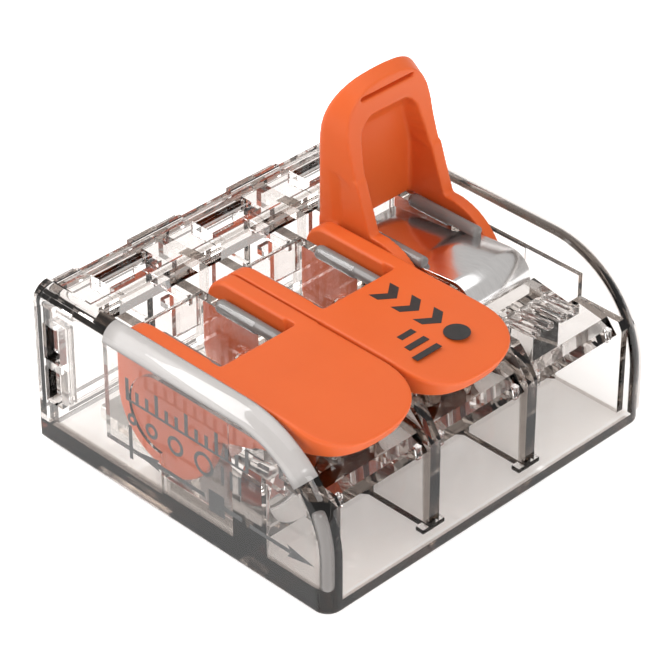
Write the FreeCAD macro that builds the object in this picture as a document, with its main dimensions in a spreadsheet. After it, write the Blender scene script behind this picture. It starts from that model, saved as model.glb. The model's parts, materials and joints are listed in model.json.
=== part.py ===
import FreeCAD, Part
import os
import re

import Sketcher

# Three-pole lever wire connector. Millimetres. X runs across the poles, the wire entries face -Y,
# +Z is up, and the origin is the middle of the housing's underside.

POLES = (1, 2, 3)
RAISED_POLES = (3,)     # this lever stands open, the others lie shut
ROOT = "Dims"

DIMENSIONS = (
    # name, value, what it is
    ("body_width", 22.9, "housing across the three poles"),
    ("front_reach", 10.5, "origin to the front face"),
    ("rear_reach", 10.1, "origin to the back face of the housing"),
    ("rail_top", 9.35, "top of the side rails"),
    ("nose_radius", 6.2, "rounding of the side rails' front"),
    ("edge_round", 0.9, "rounding of the long outer edges"),
    ("foot_round", 0.3, "rounding of the lower edges"),
    ("side_wall", 1.0, "outer wall"),
    ("floor_thick", 0.8, "floor"),
    ("pole_pitch", 6.9, "pole to pole"),
    ("lap", 0.1, "how far joined blocks run into each other, and cutters past a face"),
    ("past", 1.0, "how far the lever's cutters reach past it"),
    ("pivot_back", 1.5, "lever axis behind the origin"),
    ("pivot_up", 5.5, "lever axis above the underside"),
    ("lever_swing", 90.0, "lever travel in degrees"),
    ("leg_swing", 45.0, "clamping leg travel in degrees"),
    # partitions and the wire entries
    ("rib_thick", 0.7, "partition between two wire entries"),
    ("web_thick", 0.4, "thin partition between two levers"),
    ("rib_front", 9.8, "front edge of the partitions"),
    ("foot_wide", 1.5, "flared foot at the front of a partition"),
    ("foot_deep", 0.5, "front to back size of that foot"),
    ("foot_up", 0.25, "how far the flared foot rises"),
    ("web_front", 3.4, "where thick partition gives way to thin"),
    ("web_over", 2.2, "height of the thin partition above the lever axis"),
    ("entry_top", 5.5, "roof of a wire entry"),
    ("entry_half", 3.1, "half width of a wire entry"),
    ("post_front", 9.9, "front edge of the posts beside the outer entries"),
    ("funnel_front", 5.7, "where the funnel starts, ahead of the origin"),
    ("throat_front", 4.9, "where the round throat starts"),
    ("throat_radius", 2.1, "round throat that takes the conductor"),
    ("throat_up", 3.15, "axis of the throat"),
    ("brow_low", 6.3, "front edge of the sloping brow above an entry"),
    ("brow_high", 7.2, "rear edge of that brow"),
    ("brow_front", 9.6, "front of the brow"),
    ("brow_thick", 0.8, "thickness of the brow"),
    ("brow_lip", 8.9, "where the brow's lip ends"),
    ("side_rail_thick", 0.5, "twice the reach of the low rail along an outer wall"),
    ("side_rail_front", 6.8, "front end of that rail"),
    ("cheek_rail_top", 7.7, "top of the low rails beside the brow"),
    ("cheek_room_front", 7.0, "front end of the pockets that take the levers' flanges"),
    ("cheek_room_low", 5.6, "bottom of those pockets"),
    ("cheek_room_in", 2.3, "inner side of those pockets, from the pole's middle"),
    ("shelf_thick", 0.4, "floor of those pockets"),
    # bearing walls that carry the lever journals
    ("bearing_in", 1.7, "inner face of a bearing wall, from the pole's middle"),
    ("bearing_out", 2.28, "outer face of a bearing wall"),
    ("bearing_front", 0.55, "front edge of a bearing wall, behind the origin"),
    ("bearing_rear", 7.0, "rear edge of a bearing wall"),
    ("bearing_top", 8.15, "top of a bearing wall below its bead"),
    ("bead_radius", 0.38, "rounded bead along the bearing wall"),
    ("bead_rear", 3.4, "rear end of the bead"),
    ("boss_radius", 1.35, "bearing boss"),
    ("bearing_bore", 0.8, "bearing bore radius"),
    # roof behind the levers
    ("roof_front", 6.3, "front edge of the roof"),
    ("roof_under", 8.3, "underside of the roof"),
    ("roof_top", 9.15, "top of the roof"),
    ("ridge_depth", 0.6, "front to back size of the ridge bar"),
    ("slot_front", 7.5, "front of a test slot"),
    ("slot_deep", 1.5, "front to back size of a test slot"),
    ("slot_half", 1.7, "half width of a test slot"),
    ("border_back", 9.35, "shallow groove near the rear edge"),
    ("border_wide", 0.3, "width of that groove"),
    ("border_deep", 0.25, "depth of that groove"),
    ("bulkhead_rear", 9.3, "rear end of the rear partitions"),
    # latch windows in the side walls
    ("latch_front", 8.3, "front of the latch windows"),
    ("latch_back", 9.5, "back of the latch windows"),
    ("latch_low", 2.7, "bottom of the lower latch window"),
    ("latch_tall", 2.1, "height of one latch window"),
    ("latch_step", 2.6, "from one latch window to the next"),
    # rear cover
    ("cover_reach", 10.6, "origin to the back face of the cover"),
    ("cover_half", 11.0, "half width of the cover's plate"),
    ("cover_low", 1.7, "bottom of the cover's plate"),
    ("cover_high", 8.5, "top of the cover's plate"),
    ("plug_front", 9.4, "front of the cover's plug"),
    ("plug_half", 10.3, "half width of the cover's plug"),
    ("plug_low", 0.95, "bottom of the cover's plug"),
    ("plug_high", 8.2, "top of the cover's plug"),
    ("plug_slot", 0.45, "half width of the slots in the plug's rib"),
    ("arm_thick", 0.4, "latch arm"),
    ("arm_gap", 0.05, "space between a latch arm and the wall"),
    ("arm_front", 8.2, "front of a latch arm"),
    ("lug_out", 0.45, "how far a latch lug stands out"),
    ("lug_gap", 0.15, "space around a latch lug"),
    # busbar
    ("bar_low", 0.82, "underside of the busbar"),
    ("bar_thick", 0.78, "busbar thickness"),
    ("bar_half", 9.9, "half length of the busbar"),
    ("bar_front", 3.3, "front edge of the busbar"),
    ("bar_rear", 1.6, "rear edge of the busbar's strip"),
    ("tongue_half", 1.45, "half width of a busbar tongue"),
    ("tongue_rear", 8.4, "rear end of a tongue"),
    ("prong_in", 1.2, "inner face of a busbar prong"),
    ("prong_front", 3.9, "front of a prong"),
    ("prong_rear", 5.9, "rear of a prong"),
    ("prong_top", 3.0, "top of a prong"),
    ("bar_gap", 0.06, "space around the busbar in the partitions"),
    # clamp spring
    ("bow_forward", 3.2, "middle of the spring's bow, ahead of the origin"),
    ("bow_up", 6.85, "middle of the bow, above the underside"),
    ("bow_radius", 1.25, "bow, to the middle of the strip"),
    ("strip_thick", 0.25, "spring strip thickness"),
    ("strip_half", 2.2, "half width of the bow and of the moving leg's wide part"),
    ("frame_front", 3.35, "front face of the spring's frame, ahead of the origin"),
    ("frame_half", 2.3, "half width of the frame"),
    ("frame_low", 1.62, "foot of the frame, just above the busbar"),
    ("frame_gate_half", 1.95, "half width of the opening that the conductor passes through"),
    ("frame_gate_top", 5.3, "top of that opening"),
    ("leg_droop", 50.0, "slope of the moving leg when the clamp is shut, in degrees"),
    ("leg_long", 7.65, "bow to the clamping edge"),
    ("leg_shoulder", 2.9, "where the moving leg narrows"),
    ("leg_narrow_half", 1.55, "half width of the narrow part of the moving leg"),
    ("bow_room_gap", 0.08, "space around the bow in the brow"),
    # lever, from its own axis
    ("lever_half", 3.4, "half width of the lever's plate"),
    ("lever_top", 3.65, "plate top above the axis"),
    ("lever_band", 2.35, "underside of the plate's full-width band"),
    ("lever_reach", 11.2, "axis to the tip"),
    ("tip_start", 8.3, "where the tip starts to fall away"),
    ("tip_mid", 10.3, "middle of the falling tip"),
    ("tip_mid_up", 3.2, "height there"),
    ("tip_up", 2.55, "height at the very tip"),
    ("tip_round", 2.2, "rounding of the tip's corners"),
    ("arm_rear", 3.5, "axis to the rear end of the arms"),
    ("arm_round", 1.4, "rounding of the arms' rear top"),
    ("cheek_out", 3.1, "outer face of a cheek"),
    ("cheek_in", 2.4, "inner face of a cheek"),
    ("cheek_radius", 3.5, "round lobe of a cheek"),
    ("flange_tip", 10.0, "front end of the flange under the plate"),
    ("flange_low", 1.75, "underside of the flange near the tip"),
    ("flange_mid", 7.9, "where the flange starts to deepen"),
    ("flange_mid_low", 1.45, "underside there"),
    ("flange_root", 3.2, "where the flange meets the lobe"),
    ("flange_root_low", 0.6, "depth of that point below the axis"),
    ("recess_top", 2.75, "roof of the recess under the plate"),
    ("recess_front", 9.3, "front end of the recess"),
    ("recess_slope", 1.0, "front to back size of the recess's sloping front wall"),
    ("window_half", 2.52, "half width of the lever's window"),
    ("window_front", 2.75, "front edge of the window ahead of the axis"),
    ("journal_radius", 0.75, "journal"),
    ("journal_in", 1.75, "inner end of a journal"),
    ("peg_radius", 0.4, "cam peg that lifts the clamping leg"),
    ("peg_in", 1.25, "inner end of a cam peg"),
    ("peg_forward", 1.62, "cam peg ahead of the axis"),
    ("peg_down", 1.75, "cam peg below the axis"),
)

VALUE = {name: number for name, number, note in DIMENSIONS}

doc = FreeCAD.newDocument("lever_connector")
sheet = doc.addObject("Spreadsheet::Sheet", ROOT)
for row, (name, number, note) in enumerate(DIMENSIONS, start=1):
    sheet.set("A%d" % row, name)
    sheet.set("B%d" % row, str(number))
    sheet.set("C%d" % row, note)
    sheet.setAlias("B%d" % row, name)
doc.recompute()


def formula(text):
    """Puts the sheet's name before each dimension in an expression."""
    def swap(match):
        word = match.group(0)
        return ROOT + "." + word if word in VALUE else word
    return re.sub(r"[a-z_]+[a-z_0-9]*", swap, str(text))


def bind(item, prop, text):
    item.setExpression(prop, formula(text))


def pole_middle(pole):
    return "(%d * pole_pitch)" % (pole - 2)


def place(item, x, y, z):
    bind(item, "Placement.Base.x", x)
    bind(item, "Placement.Base.y", y)
    bind(item, "Placement.Base.z", z)


def box(name, x_range, y_range, z_range):
    """A block between two values on each axis."""
    item = doc.addObject("Part::Box", name)
    bind(item, "Length", "(%s) - (%s)" % (x_range[1], x_range[0]))
    bind(item, "Width", "(%s) - (%s)" % (y_range[1], y_range[0]))
    bind(item, "Height", "(%s) - (%s)" % (z_range[1], z_range[0]))
    place(item, x_range[0], y_range[0], z_range[0])
    return item


def rod(name, axis, radius, start, stop, across):
    """A cylinder along X or Y from start to stop; across is its place on the two other axes."""
    item = doc.addObject("Part::Cylinder", name)
    bind(item, "Radius", radius)
    bind(item, "Height", "(%s) - (%s)" % (stop, start))
    if axis == "X":
        item.Placement.Rotation = FreeCAD.Rotation(FreeCAD.Vector(0, 1, 0), 90)
        place(item, start, across[0], across[1])
    else:
        item.Placement.Rotation = FreeCAD.Rotation(FreeCAD.Vector(1, 0, 0), -90)
        place(item, across[0], start, across[1])
    return item


def ball(name, radius, middle):
    item = doc.addObject("Part::Sphere", name)
    bind(item, "Radius", radius)
    place(item, *middle)
    return item


def join(name, pieces):
    item = doc.addObject("Part::MultiFuse", name)
    item.Shapes = pieces
    item.Refine = True
    return item


def cut(name, base, tool):
    item = doc.addObject("Part::Cut", name)
    item.Base = base
    item.Tool = tool
    item.Refine = True
    return item


def overlap(name, first, second):
    item = doc.addObject("Part::MultiCommon", name)
    item.Shapes = [first, second]
    item.Refine = True
    return item


def rounded(name, base, radius, wanted):
    """Rounds the edges of base for which wanted(edge) is true."""
    doc.recompute()
    item = doc.addObject("Part::Fillet", name)
    item.Base = base
    size = VALUE[radius]
    numbers = [n for n, edge in enumerate(base.Shape.Edges, start=1) if wanted(edge)]
    item.Edges = [(n, size, size) for n in numbers]
    doc.recompute()
    return item


def origin_plane(body, role):
    return [f for f in body.Origin.OriginFeatures if f.Role == role][0]


def outline_sketch(body, name, role, points):
    """A closed outline of straight lines in one of the body's origin planes, every corner bound."""
    sketch = body.newObject("Sketcher::SketchObject", name)
    sketch.AttachmentSupport = [(origin_plane(body, role), "")]
    sketch.MapMode = "FlatFace"
    doc.recompute()
    corners = []
    for across, up in points:
        spot = [sheet.evalExpression(formula(value)) for value in (across, up)]
        corners.append(FreeCAD.Vector(float(spot[0]), float(spot[1]), 0))
    count = len(corners)
    for n in range(count):
        sketch.addGeometry(Part.LineSegment(corners[n], corners[(n + 1) % count]), False)
    for n in range(count):
        sketch.addConstraint(Sketcher.Constraint("Coincident", n, 2, (n + 1) % count, 1))
    for n, (across, up) in enumerate(points):
        for kind, text, value in (("X", across, corners[n].x), ("Y", up, corners[n].y)):
            number = sketch.addConstraint(
                Sketcher.Constraint("Distance" + kind, -1, 1, n, 1, value))
            label = "corner%d_%s" % (n, kind)
            sketch.renameConstraint(number, label)
            bind(sketch, "Constraints." + label, text)
    return sketch


def pad(body, name, sketch, length, midplane=False):
    item = body.newObject("PartDesign::Pad", name)
    item.Profile = sketch
    item.Midplane = midplane
    bind(item, "Length", length)
    doc.recompute()
    return item


def pocket(body, name, sketch, length):
    """Cuts an outline both ways from its plane, and checks that it took material away."""
    before = body.Shape.Volume
    item = body.newObject("PartDesign::Pocket", name)
    item.Profile = sketch
    item.Midplane = True
    bind(item, "Length", length)
    doc.recompute()
    if body.Shape.Volume >= before:
        raise RuntimeError(name + " cuts nothing")
    return item


def soften(body, name, radius, wanted):
    """PartDesign fillet on the edges of the body for which wanted(edge) is true."""
    base = body.Tip
    picked = ["Edge%d" % n for n, edge in enumerate(base.Shape.Edges, start=1) if wanted(edge)]
    item = body.newObject("PartDesign::Fillet", name)
    item.Base = (base, picked)
    bind(item, "Radius", radius)
    doc.recompute()
    return item


NEAR = 0.05
TINY = 0.001


def runs_along(edge, axis, near=None, slack=NEAR):
    """True for a straight edge along an axis, whose middle is near the given place."""
    if edge.Curve.TypeId != "Part::GeomLine":
        return False
    direction = edge.tangentAt(edge.FirstParameter)
    if abs(abs(getattr(direction, axis)) - 1) > TINY:
        return False
    middle = edge.CenterOfMass
    return all(abs(getattr(middle, key) - value) < slack for key, value in (near or {}).items())


def hull_shape():
    """The housing's outer form: a block with a big round nose and softened long edges."""
    block = box("hull_block", ("-body_width / 2", "body_width / 2"),
                ("-front_reach", "rear_reach"), (0, "rail_top"))
    nose = rounded("hull_nose", block, "nose_radius",
                   lambda e: runs_along(e, "x", {"y": -VALUE["front_reach"], "z": VALUE["rail_top"]}))
    half = VALUE["body_width"] / 2
    low = VALUE["foot_round"]

    def long_edge(edge):
        middle = edge.CenterOfMass
        side = abs(abs(middle.x) - half) < NEAR
        return side and middle.z > low and middle.y < VALUE["rear_reach"] - NEAR

    soft = rounded("hull_soft", nose, "edge_round", long_edge)
    return rounded("hull", soft, "foot_round",
                   lambda e: abs(e.BoundBox.ZMax) < TINY)


def partition_parts():
    """Partitions between the poles: thick beside the entries, thin beside the levers."""
    parts = []
    for n, side in enumerate(("-", "")):
        middle = side + "pole_pitch / 2"
        thick = ("%s - rib_thick / 2" % middle, "%s + rib_thick / 2" % middle)
        thin = ("%s - web_thick / 2" % middle, "%s + web_thick / 2" % middle)
        foot = ("%s - foot_wide / 2" % middle, "%s + foot_wide / 2" % middle)
        web_top = "pivot_up + web_over"
        web_end = "pivot_back + web_over"
        parts.append(box("rib_%d" % n, thick, ("-rib_front", "-web_front"), (0, "cheek_rail_top")))
        parts.append(box("rib_foot_%d" % n, foot, ("-rib_front", "-rib_front + foot_deep"),
                         (0, "floor_thick + foot_up")))
        parts.append(box("web_%d" % n, thin, ("-web_front - lap", "pivot_back"), (0, web_top)))
        parts.append(box("web_low_%d" % n, thin, ("pivot_back", web_end), (0, "pivot_up")))
        quarter = rod("web_round_%d" % n, "X", "web_over", thin[0], thin[1],
                      ("pivot_back", "pivot_up"))
        parts.append(quarter)
        parts.append(box("bulkhead_%d" % n, thick, ("roof_front", "bulkhead_rear"),
                         (0, "roof_under + lap")))
        inner = "%s(pole_pitch + entry_half)" % side
        outer = "%s(body_width / 2 - side_wall / 2)" % side
        post = (outer, inner) if side else (inner, outer)
        parts.append(box("entry_post_%d" % n, post, ("-post_front", "-web_front"),
                         (0, "brow_low")))
        rail = "%s(pole_pitch * 1.5 - side_rail_thick / 2)" % side
        rail_edges = (outer, rail) if side else (rail, outer)
        parts.append(box("side_rail_%d" % n, rail_edges, ("-side_rail_front", "pivot_back"),
                         (0, web_top)))
        parts.append(rod("side_rail_round_%d" % n, "X", "web_over", rail_edges[0], rail_edges[1],
                         ("pivot_back", "pivot_up")))
    return parts


def entry_parts(pole):
    """Solid stuff round one wire entry: throat block, sloping brow and the shelves beside it."""
    middle = pole_middle(pole)
    tag = "_%d" % pole
    across = ("%s - entry_half - lap" % middle, "%s + entry_half + lap" % middle)
    block = box("throat_block" + tag, across, ("-funnel_front", "-web_front"),
                (0, "brow_high - brow_thick"))
    brow = doc.addObject("PartDesign::Body", "brow" + tag)
    sketch = outline_sketch(brow, "brow_outline" + tag, "YZ_Plane", (
        ("-brow_front", "entry_top"),
        ("-brow_lip", "brow_low"),
        ("-web_front", "brow_high"),
        ("-web_front", "brow_high - brow_thick"),
        ("-brow_lip", "entry_top"),
    ))
    pad(brow, "brow_pad" + tag, sketch, "2 * (entry_half + lap)")
    place(brow, across[0], "0", "0")
    parts = [block, brow]
    for side, sign in (("left", "-"), ("right", "+")):
        inner = "%s %s (cheek_room_in - lap)" % (middle, sign)
        outer = "%s %s (entry_half + lap)" % (middle, sign)
        edges = (outer, inner) if side == "left" else (inner, outer)
        parts.append(box("entry_shelf_%s%s" % (side, tag), edges, ("-cheek_room_front", "-web_front"),
                         ("cheek_room_low - shelf_thick", "cheek_room_low")))
    return parts


def bearing_parts(pole):
    """Two walls with beaded tops that carry one lever's journals."""
    middle = pole_middle(pole)
    parts = []
    for side, sign in (("left", "-"), ("right", "+")):
        tag = "_%s_%d" % (side, pole)
        near, far = "%s %s bearing_in" % (middle, sign), "%s %s bearing_out" % (middle, sign)
        across = (far, near) if side == "left" else (near, far)
        bead_middle = "%s %s (bearing_in + bearing_out) / 2" % (middle, sign)
        parts.append(box("bearing_wall" + tag, across, ("bearing_front", "bearing_rear"),
                         (0, "bearing_top")))
        parts.append(rod("bearing_boss" + tag, "X", "boss_radius", across[0], across[1],
                         ("pivot_back", "pivot_up")))
        parts.append(rod("bead" + tag, "Y", "bead_radius", "bearing_front + bead_radius",
                         "bead_rear", (bead_middle, "bearing_top")))
        parts.append(ball("bead_nose" + tag, "bead_radius",
                          (bead_middle, "bearing_front + bead_radius", "bearing_top")))
        parts.append(ball("bead_tail" + tag, "bead_radius",
                          (bead_middle, "bead_rear", "bearing_top")))
    return parts


def roof_parts():
    inner = ("-body_width / 2 + side_wall / 2", "body_width / 2 - side_wall / 2")
    roof = box("roof", inner, ("roof_front", "rear_reach"), ("roof_under", "roof_top"))
    ridge = box("ridge", inner, ("roof_front", "roof_front + ridge_depth"),
                ("roof_under", "rail_top"))
    return [roof, ridge]


def entry_cuts(pole):
    """What is cut out round one wire entry: funnel, round throat, room for the flanges and the bow."""
    middle = pole_middle(pole)
    tag = "_%d" % pole
    funnel = doc.addObject("Part::Wedge", "funnel" + tag)
    for prop, text in (
            ("Xmin", "-entry_half"), ("Xmax", "entry_half"),
            ("Zmin", "floor_thick"), ("Zmax", "entry_top"),
            ("X2min", "-throat_radius"), ("X2max", "throat_radius"),
            ("Z2min", "throat_up - throat_radius"), ("Z2max", "throat_up + throat_radius"),
            ("Ymin", "0"), ("Ymax", "funnel_front - throat_front")):
        bind(funnel, prop, text)
    place(funnel, middle, "-funnel_front", "0")
    throat = rod("throat" + tag, "Y", "throat_radius", "-throat_front - 2 * lap", "-web_front + 2 * lap",
                 (middle, "throat_up"))
    cuts = [funnel, throat]
    for side, sign in (("left", "-"), ("right", "+")):
        inner = "%s %s cheek_room_in" % (middle, sign)
        outer = "%s %s (pole_pitch - web_thick) / 2" % (middle, sign)
        edges = (outer, inner) if side == "left" else (inner, outer)
        cuts.append(box("cheek_room_%s%s" % (side, tag), edges,
                        ("-cheek_room_front", "-web_front + 2 * lap"), ("cheek_room_low", "rail_top")))
    reach = "bow_radius + strip_thick / 2 + bow_room_gap"
    cuts.append(box("bow_room" + tag, ("%s - cheek_room_in" % middle, "%s + cheek_room_in" % middle),
                    ("-bow_forward - (%s)" % reach, "-web_front + 2 * lap"),
                    ("bow_up - (%s)" % reach, "rail_top")))
    return cuts


def pole_cuts(pole):
    """Bearing bores, the test slot and the notch at the rear edge of one pole."""
    middle = pole_middle(pole)
    tag = "_%d" % pole
    bore = rod("bearing_bores" + tag, "X", "bearing_bore", "%s - bearing_out - lap" % middle,
               "%s + bearing_out + lap" % middle, ("pivot_back", "pivot_up"))
    slot = box("test_slot" + tag, ("%s - slot_half" % middle, "%s + slot_half" % middle),
               ("slot_front", "slot_front + slot_deep"), ("roof_under - lap", "roof_top + lap"))
    notch = box("rear_notch" + tag, ("%s - slot_half" % middle, "%s + slot_half" % middle),
                ("rear_reach - border_wide", "rear_reach + lap"),
                ("roof_top - 2 * border_deep", "rail_top + lap"))
    return [bore, slot, notch]


def common_cuts():
    """Cuts that cross all three poles: busbar slot, roof groove, roof step, latch windows."""
    inside = ("-body_width / 2 + side_wall", "body_width / 2 - side_wall")
    items = [
        box("busbar_slot", ("-bar_half - bar_gap", "bar_half + bar_gap"),
            ("-bar_front - bar_gap", "bar_rear + bar_gap"),
            ("floor_thick", "bar_low + bar_thick + bar_gap")),
        box("border_groove", ("-plug_half", "plug_half"), ("border_back", "border_back + border_wide"),
            ("roof_top - border_deep", "rail_top + lap")),
        box("roof_step", inside, ("roof_front + ridge_depth", "rear_reach + lap"),
            ("roof_top", "rail_top + lap")),
    ]
    for n in range(2):
        low = "latch_low + %d * latch_step" % n
        items.append(box("latch_windows_%d" % n, ("-body_width / 2 - lap", "body_width / 2 + lap"),
                         ("latch_front", "latch_back"), (low, low + " + latch_tall")))
    return items


def housing():
    """Clear main housing: one moulding."""
    hull = hull_shape()
    inside = ("-body_width / 2 + side_wall", "body_width / 2 - side_wall")
    cavity = box("cavity", inside, ("-front_reach - lap", "rear_reach + lap"),
                 ("floor_thick", "rail_top + lap"))
    shell = cut("housing_shell", hull, cavity)
    adds = partition_parts() + roof_parts()
    cuts = common_cuts()
    for pole in POLES:
        adds += entry_parts(pole) + bearing_parts(pole)
        cuts += entry_cuts(pole) + pole_cuts(pole)
    trimmed = overlap("housing_inner", join("housing_adds", adds), hull)
    body = join("housing_whole", [shell, trimmed])
    return cut("main_housing", body, join("housing_cuts", cuts))


def cover():
    """Clear rear cover: plate, plug with ribs, two latch arms with lugs."""
    parts = [
        box("cover_plate", ("-cover_half", "cover_half"), ("rear_reach", "cover_reach"),
            ("cover_low", "cover_high")),
        box("cover_plug", ("-plug_half", "plug_half"), ("plug_front", "rear_reach"),
            ("plug_low", "plug_high")),
    ]
    for side, sign in (("left", "-"), ("right", "")):
        wall = "%s(body_width / 2 - side_wall - arm_gap)" % sign
        root = "%s(body_width / 2 - side_wall - arm_gap - arm_thick)" % sign
        tip = "%s(body_width / 2 - side_wall + lug_out)" % sign
        arm = (wall, root) if side == "left" else (root, wall)
        parts.append(box("latch_arm_" + side, arm, ("arm_front", "plug_front + lap"),
                         ("latch_low", "latch_low + latch_step + latch_tall")))
        for n in range(2):
            low = "latch_low + lug_gap + %d * latch_step" % n
            high = "latch_low - lug_gap + latch_tall + %d * latch_step" % n
            lug = (tip, root) if side == "left" else (root, tip)
            parts.append(box("latch_lug_%s_%d" % (side, n), lug,
                             ("latch_front + lug_gap", "latch_back - lug_gap"), (low, high)))
    slots = []
    for pole in POLES:
        middle = pole_middle(pole)
        slots.append(box("cover_pocket_%d" % pole,
                         ("%s - entry_half + plug_slot" % middle,
                          "%s + entry_half - plug_slot" % middle),
                         ("plug_front - lap", "rear_reach - border_wide"),
                         ("plug_low + plug_slot", "plug_high - plug_slot")))
    return cut("rear_cover", join("cover_solid", parts), join("cover_pockets", slots))


def busbar():
    """Tinned copper bar: one strip under all poles, a tongue and two prongs for each pole."""
    top = "bar_low + bar_thick"
    parts = [box("bar_strip", ("-bar_half", "bar_half"), ("-bar_front", "bar_rear"),
                 ("bar_low", top))]
    for pole in POLES:
        middle = pole_middle(pole)
        tag = "_%d" % pole
        parts.append(box("bar_tongue" + tag,
                         ("%s - tongue_half" % middle, "%s + tongue_half" % middle),
                         ("bar_rear - lap", "tongue_rear"), ("bar_low", top)))
        parts.append(box("prong_left" + tag,
                         ("%s - tongue_half" % middle, "%s - prong_in" % middle),
                         ("prong_front", "prong_rear"), ("bar_low", "prong_top")))
        parts.append(box("prong_right" + tag,
                         ("%s + prong_in" % middle, "%s + tongue_half" % middle),
                         ("prong_front", "prong_rear"), ("bar_low", "prong_top")))
    return join("busbar", parts)


def ring(name, inner, outer, half, y, z):
    """A short tube along X."""
    big = rod(name + "_outer", "X", outer, "-(%s)" % half, half, (y, z))
    small = rod(name + "_inner", "X", inner, "-(%s) - lap" % half, "(%s) + lap" % half, (y, z))
    return cut(name, big, small)


def clamp_spring(pole):
    """Fixed half of a clamp spring: the front of the bow and the frame that stands on the busbar."""
    tag = "_%d" % pole
    inner, outer = "bow_radius - strip_thick / 2", "bow_radius + strip_thick / 2"
    bow = ring("bow" + tag, inner, outer, "strip_half", "-bow_forward", "bow_up")
    behind = box("bow_rear" + tag, ("-2 * strip_half", "2 * strip_half"),
                 ("-bow_forward", "bow_radius"), ("bow_up - 2 * bow_radius", "bow_up + 2 * bow_radius"))
    plate = box("frame_plate" + tag, ("-frame_half", "frame_half"),
                ("-frame_front", "-frame_front + strip_thick"),
                ("frame_low", "bow_up - (%s)" % inner))
    gate = box("frame_gate" + tag, ("-frame_gate_half", "frame_gate_half"),
               ("-2 * frame_front", "bow_radius"), ("0", "frame_gate_top"))
    spring = join("clamp_spring" + tag, [cut("bow_arc" + tag, bow, behind),
                                         cut("frame" + tag, plate, gate)])
    place(spring, pole_middle(pole), "0", "0")
    return spring


def clamp_leg(pole):
    """Moving leg of a clamp spring, modelled lying flat from the middle of the bow."""
    tag = "_%d" % pole
    body = doc.addObject("PartDesign::Body", "clamp_leg" + tag)
    low, high = "(bow_radius - strip_thick / 2)", "(bow_radius + strip_thick / 2)"
    sketch = outline_sketch(body, "leg_outline" + tag, "YZ_Plane", (
        ("0", low),
        ("0", high),
        ("leg_long - strip_thick / 2", high),
        ("leg_long", low),
    ))
    pad(body, "leg_pad" + tag, sketch, "2 * strip_half", midplane=True)
    for side, sign in (("left", "-"), ("right", "")):
        inner, outer = "%sleg_narrow_half" % sign, "%s2 * strip_half" % sign
        trim = outline_sketch(body, "leg_trim_%s%s" % (side, tag), "XY_Plane", (
            (outer, "leg_shoulder"),
            (inner, "leg_shoulder"),
            (inner, "2 * leg_long"),
            (outer, "2 * leg_long"),
        ))
        pocket(body, "leg_cut_%s%s" % (side, tag), trim, "8 * bow_radius")
    place(body, pole_middle(pole), "-bow_forward", "bow_up")
    lift = VALUE["leg_swing"] if pole in RAISED_POLES else 0
    body.Placement.Rotation = FreeCAD.Rotation(FreeCAD.Vector(1, 0, 0), lift - VALUE["leg_droop"])
    return body


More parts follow.
